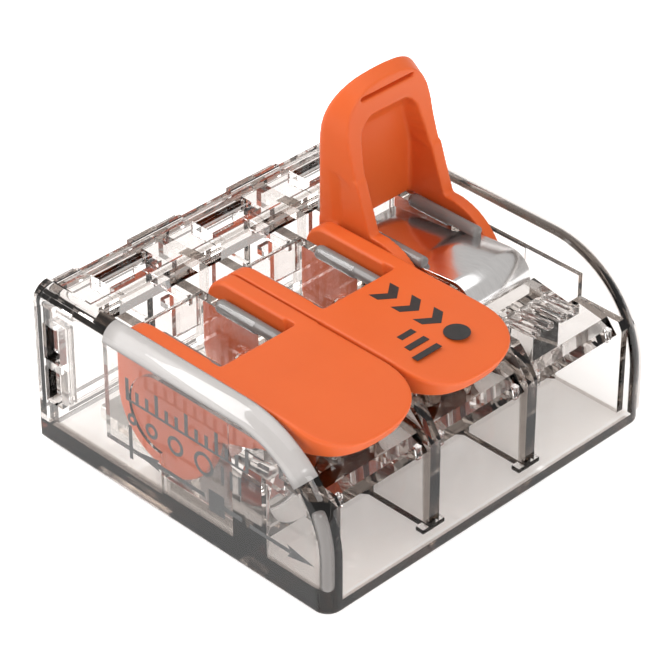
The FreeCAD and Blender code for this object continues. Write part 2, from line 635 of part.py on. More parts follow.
def lever(pole):
    """Orange lever, modelled from its own axis: plate, two cheeks, journals and cam pegs."""
    tag = "_%d" % pole
    body = doc.addObject("PartDesign::Body", "lever" + tag)
    plate = outline_sketch(body, "plate_outline" + tag, "YZ_Plane", (
        ("arm_rear", "lever_band"),
        ("arm_rear", "lever_top"),
        ("-lever_reach", "lever_top"),
        ("-lever_reach", "lever_band"),
    ))
    pad(body, "plate_pad" + tag, plate, "2 * lever_half", midplane=True)
    soften(body, "tip_corners" + tag, "tip_round",
           lambda e: runs_along(e, "z") and e.CenterOfMass.y < -VALUE["tip_mid"])
    fall = outline_sketch(body, "tip_fall_outline" + tag, "YZ_Plane", (
        ("-tip_start", "lever_top"),
        ("-tip_start", "lever_top + past"),
        ("-lever_reach - past", "lever_top + past"),
        ("-lever_reach - past", "tip_up"),
        ("-lever_reach", "tip_up"),
        ("-tip_mid", "tip_mid_up"),
    ))
    pocket(body, "tip_fall" + tag, fall, "2 * lever_half + past")
    cheeks = outline_sketch(body, "cheek_outline" + tag, "YZ_Plane", (
        ("arm_rear", "0"),
        ("arm_rear", "lever_band + lap"),
        ("-flange_tip", "lever_band + lap"),
        ("-flange_tip", "flange_low"),
        ("-flange_mid", "flange_mid_low"),
        ("-flange_root", "-flange_root_low"),
        ("-cheek_radius / 2", "-cheek_radius / 2"),
        ("cheek_radius / 2", "-cheek_radius / 2"),
    ))
    pad(body, "cheek_pad" + tag, cheeks, "2 * cheek_out", midplane=True)
    lobe = body.newObject("PartDesign::AdditiveCylinder", "lobe" + tag)
    bind(lobe, "Radius", "cheek_radius")
    bind(lobe, "Height", "2 * cheek_out")
    lobe.Placement = FreeCAD.Placement(FreeCAD.Vector(-VALUE["cheek_out"], 0, 0),
                                       FreeCAD.Rotation(FreeCAD.Vector(0, 1, 0), 90))
    doc.recompute()
    soften(body, "arm_ends" + tag, "arm_round",
           lambda e: runs_along(e, "x", {"y": VALUE["arm_rear"], "z": VALUE["lever_top"]}))
    room = outline_sketch(body, "recess_outline" + tag, "YZ_Plane", (
        ("arm_rear + past", "-cheek_radius - past"),
        ("arm_rear + past", "recess_top"),
        ("-recess_front + recess_slope", "recess_top"),
        ("-recess_front", "recess_top - 2 * recess_slope"),
        ("-recess_front", "-cheek_radius - past"),
    ))
    pocket(body, "recess" + tag, room, "2 * cheek_in")
    window = outline_sketch(body, "window_outline" + tag, "XY_Plane", (
        ("-window_half", "-window_front"),
        ("window_half", "-window_front"),
        ("window_half", "arm_rear + past"),
        ("-window_half", "arm_rear + past"),
    ))
    gap = body.newObject("PartDesign::Pocket", "window" + tag)
    gap.Profile = window
    gap.Reversed = True
    bind(gap, "Length", "lever_top + past")
    doc.recompute()
    for kind, radius, inner, back, up in (
            ("journal", "journal_radius", "journal_in", "0", "0"),
            ("peg", "peg_radius", "peg_in", "-peg_forward", "-peg_down")):
        for side, start in (("left", "-(cheek_in + 2 * lap)"), ("right", inner)):
            stud = body.newObject("PartDesign::AdditiveCylinder", "%s_%s%s" % (kind, side, tag))
            stud.Placement.Rotation = FreeCAD.Rotation(FreeCAD.Vector(0, 1, 0), 90)
            bind(stud, "Radius", radius)
            bind(stud, "Height", "cheek_in + 2 * lap - %s" % inner)
            place(stud, start, back, up)
            doc.recompute()
    place(body, pole_middle(pole), "pivot_back", "pivot_up")
    if pole in RAISED_POLES:
        body.Placement.Rotation = FreeCAD.Rotation(FreeCAD.Vector(-1, 0, 0), VALUE["lever_swing"])
    return body


def export(items):
    doc.recompute()
    for item in doc.Objects:
        if "Invalid" in item.State or "Error" in item.State:
            raise RuntimeError("%s failed: %s" % (item.Name, item.State))
    for item in items:
        shape = item.Shape
        if shape.isNull() or not shape.isValid() or len(shape.Solids) != 1:
            raise RuntimeError("%s is not one valid solid: %d" % (item.Label, len(shape.Solids)))
    os.makedirs("parts", exist_ok=True)
    for item in items:
        item.Shape.exportStep("parts/%s.step" % item.Label)
        bounds = item.Shape.BoundBox
        print("%-16s volume %8.2f  x %6.2f %6.2f  y %6.2f %6.2f  z %6.2f %6.2f" % (
            item.Label, item.Shape.Volume, bounds.XMin, bounds.XMax,
            bounds.YMin, bounds.YMax, bounds.ZMin, bounds.ZMax))


PIECES = [housing(), cover(), busbar()]
for number in POLES:
    PIECES += [clamp_spring(number), clamp_leg(number), lever(number)]
for piece in PIECES:
    piece.Label = piece.Name
export(PIECES)
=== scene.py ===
import json
import math

import bmesh
import bpy
from mathutils import Matrix, Vector


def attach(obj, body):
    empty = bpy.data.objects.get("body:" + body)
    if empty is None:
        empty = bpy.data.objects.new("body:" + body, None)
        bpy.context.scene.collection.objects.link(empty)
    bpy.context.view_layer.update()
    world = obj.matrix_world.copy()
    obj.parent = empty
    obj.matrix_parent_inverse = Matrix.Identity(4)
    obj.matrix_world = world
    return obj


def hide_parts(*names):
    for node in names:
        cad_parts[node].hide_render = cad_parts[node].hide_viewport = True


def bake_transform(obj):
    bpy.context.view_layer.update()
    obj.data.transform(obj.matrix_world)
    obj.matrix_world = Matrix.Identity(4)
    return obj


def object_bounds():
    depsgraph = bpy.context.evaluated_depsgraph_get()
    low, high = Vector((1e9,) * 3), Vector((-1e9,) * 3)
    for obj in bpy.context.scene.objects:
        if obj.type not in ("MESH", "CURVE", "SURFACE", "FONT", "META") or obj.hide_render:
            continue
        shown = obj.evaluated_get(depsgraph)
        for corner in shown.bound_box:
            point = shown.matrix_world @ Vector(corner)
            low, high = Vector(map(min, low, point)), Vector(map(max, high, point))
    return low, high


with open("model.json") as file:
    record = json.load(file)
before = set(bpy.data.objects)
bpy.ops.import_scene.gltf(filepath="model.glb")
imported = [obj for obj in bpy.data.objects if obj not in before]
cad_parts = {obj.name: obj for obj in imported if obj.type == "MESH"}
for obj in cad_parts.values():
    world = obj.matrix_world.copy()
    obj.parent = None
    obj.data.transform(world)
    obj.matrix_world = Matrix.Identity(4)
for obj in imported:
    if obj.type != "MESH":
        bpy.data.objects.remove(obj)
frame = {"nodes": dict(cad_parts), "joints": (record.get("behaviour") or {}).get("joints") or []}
CAD_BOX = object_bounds()

MM = 0.001
POLES = (1, 2, 3)
NODES = frame["nodes"]
JOINTS = {joint["name"]: joint for joint in frame["joints"]}


# ---------------------------------------------------------------- frame facts

def pole_x(pole):
    """Middle of a pole, in millimetres."""
    return JOINTS["lever_hinge_%d" % pole]["pos_m"][0] / MM


def rest_turn(joint_name):
    """How far a joint already stands open at rest, in degrees."""
    return -JOINTS[joint_name]["range_deg"][0]


def joint_place(joint_name):
    """Moves a mesh from a joint's own closed frame, in millimetres, to its place at rest."""
    joint = JOINTS[joint_name]
    turn = Matrix.Rotation(math.radians(rest_turn(joint_name)), 4, Vector(joint["axis"]))
    return Matrix.Translation(Vector(joint["pos_m"])) @ turn @ Matrix.Scale(MM, 4)


# ---------------------------------------------------------------- mesh helpers

TO_METRES = Matrix.Scale(MM, 4)


def limited(share):
    """Keeps a share between 0 and 1."""
    return max(0, min(1, share))


def stations(start, stop, steps):
    """Evenly spaced values from start to stop."""
    return [start + (stop - start) * n / steps for n in range(steps + 1)]


def new_object(name, mesh, material):
    piece = bpy.data.objects.new(name, mesh)
    bpy.context.scene.collection.objects.link(piece)
    mesh.materials.clear()
    mesh.materials.append(material)
    return piece


def mesh_from(name, bm):
    bmesh.ops.recalc_face_normals(bm, faces=bm.faces)
    mesh = bpy.data.meshes.new(name)
    bm.to_mesh(mesh)
    bm.free()
    return mesh


def add_prism(bm, outline, x_low, x_high):
    """A closed solid: an outline of (y, z) points pulled from x_low to x_high."""
    rings = []
    for x in (x_low, x_high):
        rings.append([bm.verts.new((x, y, z)) for y, z in outline])
    count = len(outline)
    bm.faces.new(rings[0])
    bm.faces.new(list(reversed(rings[1])))
    for n in range(count):
        m = (n + 1) % count
        bm.faces.new((rings[0][m], rings[0][n], rings[1][n], rings[1][m]))


def add_sections(bm, sections):
    """A closed solid through matching rings of points."""
    rings = [[bm.verts.new(point) for point in section] for section in sections]
    bm.faces.new(list(reversed(rings[0])))
    bm.faces.new(rings[-1])
    for ring, after in zip(rings, rings[1:]):
        for n in range(len(ring)):
            m = (n + 1) % len(ring)
            bm.faces.new((ring[n], ring[m], after[m], after[n]))


def arc(middle, radius, start, stop, steps):
    """Points (a, b) on an arc, angles in degrees."""
    points = []
    for n in range(steps + 1):
        angle = math.radians(start + (stop - start) * n / steps)
        points.append((middle[0] + radius * math.cos(angle), middle[1] + radius * math.sin(angle)))
    return points


def modified(name, mesh, settings):
    """Runs modifiers on a mesh and returns the finished mesh."""
    piece = bpy.data.objects.new(name + "_work", mesh)
    bpy.context.scene.collection.objects.link(piece)
    for kind, values in settings:
        modifier = piece.modifiers.new(kind.lower(), kind)
        for key, value in values.items():
            setattr(modifier, key, value)
    bpy.context.view_layer.update()
    done = bpy.data.meshes.new_from_object(
        piece.evaluated_get(bpy.context.evaluated_depsgraph_get()))
    done.name = name
    bpy.data.objects.remove(piece)
    return done


def shade_smooth(mesh):
    mesh.polygons.foreach_set("use_smooth", [True] * len(mesh.polygons))
    mesh.update()


def finished(name, bm, place, material, settings=(), smooth=False):
    """Turns drawn geometry into a piece, moved to its place, with modifiers run on it."""
    mesh = mesh_from(name, bm)
    mesh.transform(place)
    if settings:
        mesh = modified(name, mesh, settings)
    if smooth:
        shade_smooth(mesh)
    return new_object(name, mesh, material)


def softened(width, **more):
    """Modifier settings for small bevels on sharp edges; the width is in millimetres."""
    return [("BEVEL", {"width": width * MM, "segments": 2, "limit_method": "ANGLE", **more})]


# ---------------------------------------------------------------- materials

def blank_material(name):
    material = bpy.data.materials.new(name)
    material.use_nodes = True
    tree = material.node_tree
    tree.nodes.clear()
    output = tree.nodes.new("ShaderNodeOutputMaterial")
    return material, tree, output


def noise(tree, scale, detail=3.0, rough=0.5, stretch=None):
    """Noise on the object's own coordinates; scale is in features per metre."""
    place = tree.nodes.new("ShaderNodeTexCoord")
    mapping = tree.nodes.new("ShaderNodeMapping")
    mapping.inputs["Scale"].default_value = stretch or (1, 1, 1)
    texture = tree.nodes.new("ShaderNodeTexNoise")
    texture.inputs["Scale"].default_value = scale
    texture.inputs["Detail"].default_value = detail
    texture.inputs["Roughness"].default_value = rough
    tree.links.new(place.outputs["Object"], mapping.inputs["Vector"])
    tree.links.new(mapping.outputs["Vector"], texture.inputs["Vector"])
    return texture.outputs["Fac"]


def spread(tree, value, low, high):
    """Maps a 0 to 1 value to a narrower range."""
    node = tree.nodes.new("ShaderNodeMapRange")
    node.inputs["To Min"].default_value = low
    node.inputs["To Max"].default_value = high
    tree.links.new(value, node.inputs["Value"])
    return node.outputs["Result"]


def blend_colours(tree, value, first, second):
    node = tree.nodes.new("ShaderNodeMix")
    node.data_type = "RGBA"
    node.inputs[6].default_value = (*first, 1)
    node.inputs[7].default_value = (*second, 1)
    tree.links.new(value, node.inputs["Factor"])
    return node.outputs[2]


def bump(tree, value, strength, distance):
    node = tree.nodes.new("ShaderNodeBump")
    node.inputs["Strength"].default_value = strength
    node.inputs["Distance"].default_value = distance
    tree.links.new(value, node.inputs["Height"])
    return node.outputs["Normal"]


def see_through(name, ior, tints, lamp_colour, depth_colour, density):
    """Glass-like plastic: lets lamps through, and darkens with the length of the path inside it."""
    material, tree, output = blank_material(name)
    shader = tree.nodes.new("ShaderNodeBsdfPrincipled")
    shader.inputs["IOR"].default_value = ior
    shader.inputs["Transmission Weight"].default_value = 1.0
    tree.links.new(blend_colours(tree, noise(tree, 900, 4), *tints), shader.inputs["Base Color"])
    tree.links.new(spread(tree, noise(tree, 500, 5), 0.0, 0.03), shader.inputs["Roughness"])
    tree.links.new(bump(tree, noise(tree, 260, 2), 0.01, 0.0002), shader.inputs["Normal"])
    open_way = tree.nodes.new("ShaderNodeBsdfTransparent")
    open_way.inputs["Color"].default_value = (*lamp_colour, 1)
    rays = tree.nodes.new("ShaderNodeLightPath")
    mix = tree.nodes.new("ShaderNodeMixShader")
    tree.links.new(rays.outputs["Is Shadow Ray"], mix.inputs["Fac"])
    tree.links.new(shader.outputs["BSDF"], mix.inputs[1])
    tree.links.new(open_way.outputs["BSDF"], mix.inputs[2])
    tree.links.new(mix.outputs["Shader"], output.inputs["Surface"])
    depth = tree.nodes.new("ShaderNodeVolumeAbsorption")
    depth.inputs["Color"].default_value = (*depth_colour, 1)
    depth.inputs["Density"].default_value = density
    tree.links.new(depth.outputs["Volume"], output.inputs["Volume"])
    return material


def grey_with_painted_light(name, dark, light):
    """Opaque polished grey plastic, set into clear parts as painted highlight and painted shade; white
    where it mirrors the lamps.
    """
    material, tree, output = blank_material(name)
    shader = tree.nodes.new("ShaderNodeBsdfPrincipled")
    tree.links.new(blend_colours(tree, noise(tree, 120, 2), dark, light),
                   shader.inputs["Base Color"])
    tree.links.new(spread(tree, noise(tree, 900, 3), 0.16, 0.24), shader.inputs["Roughness"])
    tree.links.new(shader.outputs["BSDF"], output.inputs["Surface"])
    return material


def orange_plastic():
    """Satin orange moulding with fine texture and slightly paler rubbed spots."""
    material, tree, output = blank_material("orange_polyamide")
    shader = tree.nodes.new("ShaderNodeBsdfPrincipled")
    colour = blend_colours(tree, noise(tree, 350, 4), (0.66, 0.112, 0.022), (0.72, 0.128, 0.027))
    tree.links.new(colour, shader.inputs["Base Color"])
    tree.links.new(spread(tree, noise(tree, 1800, 3), 0.36, 0.48), shader.inputs["Roughness"])
    tree.links.new(bump(tree, noise(tree, 9000, 2), 0.08, 0.00002), shader.inputs["Normal"])
    shader.inputs["Specular IOR Level"].default_value = 0.32
    shader.inputs["Subsurface Weight"].default_value = 0.12
    shader.inputs["Subsurface Radius"].default_value = (0.0008, 0.0003, 0.0001)
    shader.inputs["Subsurface Scale"].default_value = 1.0
    tree.links.new(shader.outputs["BSDF"], output.inputs["Surface"])
    return material


def plated_metal(name, dark, light, rough_low, rough_high, stretch):
    """Bright metal strip with fine rolling lines."""
    material, tree, output = blank_material(name)
    shader = tree.nodes.new("ShaderNodeBsdfPrincipled")
    shader.inputs["Metallic"].default_value = 1.0
    grain = noise(tree, 1500, 4, 0.6, stretch)
    tree.links.new(blend_colours(tree, grain, dark, light), shader.inputs["Base Color"])
    tree.links.new(spread(tree, grain, rough_low, rough_high), shader.inputs["Roughness"])
    tree.links.new(bump(tree, grain, 0.1, 0.00001), shader.inputs["Normal"])
    tree.links.new(shader.outputs["BSDF"], output.inputs["Surface"])
    return material


def ink(name, colour):
    """Pad-printed ink, a little uneven."""
    material, tree, output = blank_material(name)
    shader = tree.nodes.new("ShaderNodeBsdfPrincipled")
    lighter = tuple(min(1, value * 1.6 + 0.01) for value in colour)
    tree.links.new(blend_colours(tree, noise(tree, 4000, 4), colour, lighter),
                   shader.inputs["Base Color"])
    tree.links.new(spread(tree, noise(tree, 3000, 2), 0.35, 0.55), shader.inputs["Roughness"])
    tree.links.new(shader.outputs["BSDF"], output.inputs["Surface"])
    return material


CLEAR = see_through("clear_polycarbonate", 1.45, ((0.985, 0.98, 0.975), (1, 1, 1)),
                    (0.93, 0.925, 0.92), (0.60, 0.55, 0.51), 270)
ORANGE = orange_plastic()
TIN = plated_metal("tin_plate", (0.72, 0.71, 0.70), (0.90, 0.89, 0.87), 0.14, 0.26, (1, 6, 1))
SPRING = plated_metal("spring_steel", (0.74, 0.74, 0.75), (0.92, 0.92, 0.92), 0.12, 0.22, (8, 1, 1))
# Painted shade: dark tinted glass set inside clear edges and floors, where the moulding only looks dark
# from refraction.
SHADE_PAINT_GLASS = see_through("painted_edge_shade", 1.001, ((0.95, 0.94, 0.93), (1, 1, 1)),
                    (0.85, 0.84, 0.83), (0.51, 0.46, 0.425), 3200)
# Painted highlight: opaque grey for the left rail's white reflection.
RAIL_HIGHLIGHT_PAINT = grey_with_painted_light("rail_highlight_paint_grey", (0.42, 0.40, 0.39), (0.52, 0.50, 0.49))
# Painted shade and highlight: opaque dark grey for the bead cores and the front corner column.
SHADE_PAINT_GREY = grey_with_painted_light("painted_shade_grey", (0.15, 0.14, 0.135), (0.25, 0.235, 0.225))
BLACK_INK = ink("black_ink", (0.012, 0.012, 0.012))
GREY_INK = ink("grey_ink", (0.045, 0.045, 0.045))


# ---------------------------------------------------------------- housing, cover and busbar

WELD_GAP = 0.002


def dress_cad(node, material, bevel):
    """Gives a CAD node its material and soft moulded edges."""
    piece = NODES[node]
    piece.data.materials.clear()
    piece.data.materials.append(material)
    weld = piece.modifiers.new("weld", "WELD")
    weld.merge_threshold = WELD_GAP * MM
    edges = piece.modifiers.new("edges", "BEVEL")
    edges.width = bevel * MM
    edges.segments = 3
    edges.limit_method = "ANGLE"
    edges.angle_limit = math.radians(40)


# ---------------------------------------------------------------- levers
# All in the lever's own frame: closed, with its axis at the origin, in millimetres.

LEVER_HALF = 3.38
LEVER_TOP = 3.65
LEVER_TIP = -11.2
WINDOW_FRONT = -2.75
WINDOW_HALF = 2.52
ARM_REAR = 3.5
ARM_LOW = 2.35
CHEEK_OUT = 3.1
CHEEK_IN = 2.4
LOBE = 3.5
TIP_LONG = 3.0
TIP_POWER = 0.76
FALL_START = -7.6
FALL_DEPTH = 0.75
CEILING = 2.75
RECESS_FRONT = -9.4
RECESS_HALF = 2.35
DRAFT = 0.35
LOW_AT_TIP = 2.25
LOW_SLOPE = 0.37
LOW_START = 2.4
LOW_BEND = 2.0
NECK_START = -9.0
NECK_LONG = 4.0
NECK_RISE = 0.25
NECK_BLEND = 0.2
RIM_START = -6.5
RIM_LONG = 2.5
RECESS_CORNER = 1.3
RECESS_RISE = 1.0
RECESS_CURVE = 1.5
RECESS_LEAN = 0.55
LEAN_START = -6.0
LEAN_LONG = 2.0
RECESS_WALL_TOP = 1.2
CEILING_EDGE = 0.12
BELOW_ALL = -5.0
GROOVE_FRONT = -10.35
GROOVE_REAR = -10.1
GROOVE_TOP = 2.5
GROOVE_HALF = 1.9
FLANGE_ROWS = (-6.2, -5.2, -4.2, -3.5)
FLANGE_RISE = 2.4
ARM_FRONT = -3.4
JOURNAL_IN = 1.75
JOURNAL_RADIUS = 0.75
PEG_IN = 1.25
PEG_RADIUS = 0.4
PEG_FORWARD = 1.62
PEG_DOWN = 1.75
STUD_OUT = 2.6
VOXEL = 0.075


def lever_top(y):
    """The plate's top, which falls away in a curve near the tip."""
    if y >= FALL_START:
        return LEVER_TOP
    share = (FALL_START - y) / (FALL_START - LEVER_TIP)
    return LEVER_TOP - FALL_DEPTH * share ** 2


def lever_low(y):
    """Underside of the flange: level at the tip, then ever deeper towards the cheeks."""
    along = y - LEVER_TIP - LOW_START
    return LOW_AT_TIP - LOW_SLOPE * 0.5 * (along + math.sqrt(along ** 2 + LOW_BEND ** 2))


def half_outline(inset):
    """Right half of the plate seen from above, from the rear to the middle of the arched tip."""
    half = LEVER_HALF - inset
    start = LEVER_TIP + inset + TIP_LONG
    points = [(half, y) for y in stations(WINDOW_FRONT, start, 16)]
    steps = 22
    for n in range(1, steps):
        spot = math.radians(90 * n / steps)
        points.append((half * math.cos(spot) ** TIP_POWER,
                       start - TIP_LONG * math.sin(spot) ** TIP_POWER))
    return points + [(0.02, start - TIP_LONG)]


# Height up the flank and how far it leans in there, both as shares.
FLANK = ((0.0, 1.0), (0.25, 0.72), (0.5, 0.42), (0.72, 0.16), (0.86, 0.02), (0.95, 0.03), (1.0, 0.17))


def add_plate(bm):
    """The plate with its drafted flange: rings of points from the lower edge to the top."""
    rings = []
    for share, lean in FLANK:
        right, left = [], []
        for n, (_, y) in enumerate(half_outline(0)):
            z = lever_low(y) + share * (lever_top(y) - lever_low(y))
            near = limited((y - NECK_START) / NECK_LONG)
            under = limited((ARM_LOW + NECK_RISE - z) / NECK_BLEND)
            inset = DRAFT * max(lean, near * under)
            x_in, y_in = half_outline(inset)[n]
            right.append(bm.verts.new((x_in, y_in, z)))
            left.append(bm.verts.new((-x_in, y_in, z)))
        rings.append((right, left))
    last = len(rings[0][0]) - 1
    for (right, left), (right_up, left_up) in zip(rings, rings[1:]):
        for n in range(last):
            bm.faces.new((right[n], right_up[n], right_up[n + 1], right[n + 1]))
            bm.faces.new((left[n], left[n + 1], left_up[n + 1], left_up[n]))
        bm.faces.new((right[last], right_up[last], left_up[last], left[last]))
        bm.faces.new((right[0], left[0], left_up[0], right_up[0]))
    for right, left in (rings[0], rings[-1]):
        for n in range(last):
            bm.faces.new((right[n], right[n + 1], left[n + 1], left[n]))


def recess_half(y):
    """Half width of the recess at its rim: it widens from the tip towards the cheeks."""
    return RECESS_HALF + (CHEEK_IN - RECESS_HALF) * limited((y - RIM_START) / RIM_LONG)


def recess_section(y):
    """Hollow under the plate: narrower at its ceiling than at its rim, and rounded at its front."""
    into = y - RECESS_FRONT
    half = recess_half(y)
    if into < RECESS_CORNER:
        half -= RECESS_CORNER - math.sqrt(max(0, RECESS_CORNER ** 2 - (RECESS_CORNER - into) ** 2))
    high = CEILING - RECESS_RISE * max(0, 1 - into / RECESS_CORNER) ** RECESS_CURVE
    slope = RECESS_LEAN * limited((LEAN_START - y) / LEAN_LONG)
    return [(-half, y, BELOW_ALL), (half, y, BELOW_ALL),
            (half, y, RECESS_WALL_TOP), (half - slope, y, high - CEILING_EDGE),
            (half - slope - CEILING_EDGE, y, high), (-half + slope + CEILING_EDGE, y, high),
            (-half + slope, y, high - CEILING_EDGE), (-half, y, RECESS_WALL_TOP)]


def cheek_outline():
    """Round lobe with a flat rear, the arm's rounded end and the root of the flange."""
    outline = [(FLANGE_ROWS[0], FLANGE_RISE)] + [(y, lever_low(y) + 0.02) for y in FLANGE_ROWS]
    outline += arc((0, 0), LOBE, 182, 360, 22)
    outline += [(ARM_REAR, 1.2)]
    outline += arc((ARM_REAR - 1.4, LEVER_TOP - 1.5), 1.4, 0, 90, 8)
    outline += [(-2.0, LEVER_TOP - 0.1), (-2.4, 2.2)]
    return outline


def arm_outline():
    """Arm beside the window, with a rounded rear end."""
    outline = [(ARM_FRONT, ARM_LOW), (ARM_REAR, ARM_LOW)]
    outline += arc((ARM_REAR - 1.3, LEVER_TOP - 1.3), 1.3, 0, 90, 8)
    outline += [(ARM_FRONT, LEVER_TOP)]
    return outline


def add_stud(bm, sign, inner, y, z, radius):
    """A round stud on the inside of a cheek."""
    ends = sorted((sign * inner, sign * STUD_OUT))
    add_prism(bm, arc((y, z), radius, 0, 360 - 15, 23), *ends)


def recess_mesh(name):
    """What is cut out under the plate: the recess and the groove near the tip."""
    bm = bmesh.new()
    rows = stations(RECESS_FRONT, RECESS_FRONT + 1.2, 12) + stations(RECESS_FRONT + 1.5, 1.0, 18)
    add_sections(bm, [recess_section(y) for y in rows])
    add_prism(bm, [(GROOVE_FRONT, 1.0), (GROOVE_REAR, 1.0), (GROOVE_REAR, GROOVE_TOP),
                   (GROOVE_FRONT, GROOVE_TOP)], -GROOVE_HALF, GROOVE_HALF)
    return mesh_from(name, bm)


def lever_mesh(name):
    """The whole lever: plate less recess, with arms, cheeks and studs, melted into one skin."""
    bm = bmesh.new()
    add_plate(bm)
    solid = mesh_from(name + "_plate", bm)
    cutter = bpy.data.objects.new(name + "_cutter", recess_mesh(name + "_hollow"))
    bpy.context.scene.collection.objects.link(cutter)
    plate = modified(name + "_cut", solid, [
        ("BOOLEAN", {"operation": "DIFFERENCE", "object": cutter, "solver": "EXACT"})])
    bpy.data.objects.remove(cutter)
    bm = bmesh.new()
    bm.from_mesh(plate)
    for sign in (-1, 1):
        ends = sorted((sign * WINDOW_HALF, sign * LEVER_HALF))
        add_prism(bm, arm_outline(), *ends)
        ends = sorted((sign * CHEEK_IN, sign * CHEEK_OUT))
        add_prism(bm, cheek_outline(), *ends)
        add_stud(bm, sign, JOURNAL_IN, 0, 0, JOURNAL_RADIUS)
        add_stud(bm, sign, PEG_IN, -PEG_FORWARD, -PEG_DOWN, PEG_RADIUS)
    rough = mesh_from(name + "_rough", bm)
    done = modified(name, rough, [
        ("REMESH", {"mode": "VOXEL", "voxel_size": VOXEL}),
        ("SMOOTH", {"factor": 0.5, "iterations": 4})])
    shade_smooth(done)
    return done


def build_levers():
    shape = lever_mesh("lever_shape")
    for pole in POLES:
        mesh = shape.copy()
        mesh.transform(joint_place("lever_hinge_%d" % pole))
        piece = new_object("lever_%d_moulding" % pole, mesh, ORANGE)
        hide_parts("lever_%d" % pole)
        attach(piece, "lever_body_%d" % pole)


# ---------------------------------------------------------------- clamp springs
# All from the middle of the bow, in millimetres.

BOW = 1.25
STRIP = 0.25
STRIP_HALF = 2.2
NARROW_HALF = 1.55
SHOULDER = 2.9
LEG_LONG = 7.62
LEG_DROOP = 50
FRAME_HALF = 2.3
FRAME_LOW = -5.22
FRAME_TOP = -1.42
FRAME_CORNER = 0.3
FRAME_FRONT = -0.15
FRAME_BACK = 0.1
GATE_HALF = 1.95
GATE_TOP = -1.55
SPRING_EDGES = softened(0.04, angle_limit=math.radians(60))


def strip_path(droop):
    """(y, z, half width) along the strip, from the bow's bottom round its front and back along the leg."""
    path = [(y, z, STRIP_HALF) for y, z in arc((0, 0), BOW, 270, 90 - droop, 34)]
    slope = math.radians(droop)
    along = (math.cos(slope), -math.sin(slope))
    first = path[-1]
    for reach, half in ((1.2, STRIP_HALF), (2.2, STRIP_HALF), (SHOULDER, STRIP_HALF - 0.05),
                        (SHOULDER + 0.25, NARROW_HALF + 0.1), (SHOULDER + 0.5, NARROW_HALF),
                        (5.0, NARROW_HALF), (6.6, NARROW_HALF), (LEG_LONG, NARROW_HALF)):
        path.append((first[0] + along[0] * reach, first[1] + along[1] * reach, half))
    return path


def draw_strip(droop):
    """The bow and the leg, one bent strip."""
    path = strip_path(droop)
    sections = []
    for n, (y, z, half) in enumerate(path):
        before = path[max(0, n - 1)]
        after = path[min(len(path) - 1, n + 1)]
        along = Vector((after[0] - before[0], after[1] - before[1])).normalized()
        out = Vector((along.y, -along.x)) * STRIP / 2
        sections.append([(-half, y + out.x, z + out.y), (half, y + out.x, z + out.y),
                         (half, y - out.x, z - out.y), (-half, y - out.x, z - out.y)])
    bm = bmesh.new()
    add_sections(bm, sections)
    return bm


def draw_frame():
    """The spring's standing frame with the opening that the conductor passes through."""
    outer = [(-FRAME_HALF, FRAME_LOW), (-GATE_HALF, FRAME_LOW), (-GATE_HALF, GATE_TOP),
             (GATE_HALF, GATE_TOP), (GATE_HALF, FRAME_LOW), (FRAME_HALF, FRAME_LOW)]
    corner = [(FRAME_HALF - FRAME_CORNER + x, FRAME_TOP + z)
              for x, z in arc((0, 0), FRAME_CORNER, 0, 90, 4)]
    outer += corner + [(-x, z) for x, z in reversed(corner)]
    bm = bmesh.new()
    front = [bm.verts.new((x, FRAME_FRONT, z)) for x, z in outer]
    back = [bm.verts.new((x, FRAME_BACK, z)) for x, z in outer]
    bm.faces.new(front)
    bm.faces.new(list(reversed(back)))
    for n in range(len(outer)):
        m = (n + 1) % len(outer)
        bm.faces.new((front[m], front[n], back[n], back[m]))
    return bm


def build_springs():
    for pole in POLES:
        droop = LEG_DROOP - rest_turn("leg_flex_%d" % pole)
        middle = Vector(JOINTS["leg_flex_%d" % pole]["pos_m"])
        place = Matrix.Translation(middle) @ TO_METRES
        piece = finished("spring_strip_%d" % pole, draw_strip(droop), place, SPRING,
                         SPRING_EDGES, smooth=True)
        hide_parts("clamp_leg_%d" % pole)
        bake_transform(piece)
        piece = finished("spring_frame_%d" % pole, draw_frame(), place, SPRING,
                         SPRING_EDGES)
        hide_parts("clamp_spring_%d" % pole)
        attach(piece, "root")


# ---------------------------------------------------------------- printed marks

def add_slab(bm, outline, low, high):
    """A thin closed slab over an outline of (a, b) points, between two heights."""
    bottom = [bm.verts.new((a, b, low)) for a, b in outline]
    top = [bm.verts.new((a, b, high)) for a, b in outline]
    bm.faces.new(list(reversed(bottom)))
    bm.faces.new(top)
    for n in range(len(outline)):
        m = (n + 1) % len(outline)
        bm.faces.new((bottom[n], bottom[m], top[m], top[n]))


def bar(a0, b0, a1, b1):
    """Corners of an upright rectangle."""
    return [(a0, b0), (a1, b0), (a1, b1), (a0, b1)]


def add_ring(bm, a, b, radius, width, low, high):
    """A round band made of small slabs."""
    steps = 24
    outer = arc((a, b), radius, 0, 360, steps)
    inner = arc((a, b), radius - width, 0, 360, steps)
    for n in range(steps):
        add_slab(bm, [outer[n], outer[n + 1], inner[n + 1], inner[n]], low, high)


def lever_marks():
    """Plain arrowheads, a dot and three bars on the middle lever; along is towards the tip."""
    bm = bmesh.new()
    low, high = LEVER_TOP - 0.02, LEVER_TOP + 0.012
    arrow = [(0, 0), (0.62, 0), (1.2, 0.75), (0.62, 1.5), (0, 1.5), (0.58, 0.75)]
    dot_x, dot_y, dot_radius = 0.65, -8.75, 0.68
    bars_start, bars_pitch, bars_side, bar_wide = 7.0, 0.85, -0.75, 0.38
    for start in (3.5, 5.0, 6.5):
        add_slab(bm, [(across - 0.1, -(start + along)) for along, across in arrow], low, high)
    add_slab(bm, [(a + dot_x, b + dot_y) for a, b in arc((0, 0), dot_radius, 0, 345, 23)], low, high)
    for n, length in enumerate((1.0, 1.35, 1.7)):
        start = bars_start + bars_pitch * n
        add_slab(bm, bar(bars_side - length, -start - bar_wide, bars_side, -start), low, high)
    piece = finished("lever_marks", bm, joint_place("lever_hinge_2"), BLACK_INK)
    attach(piece, "lever_body_2")


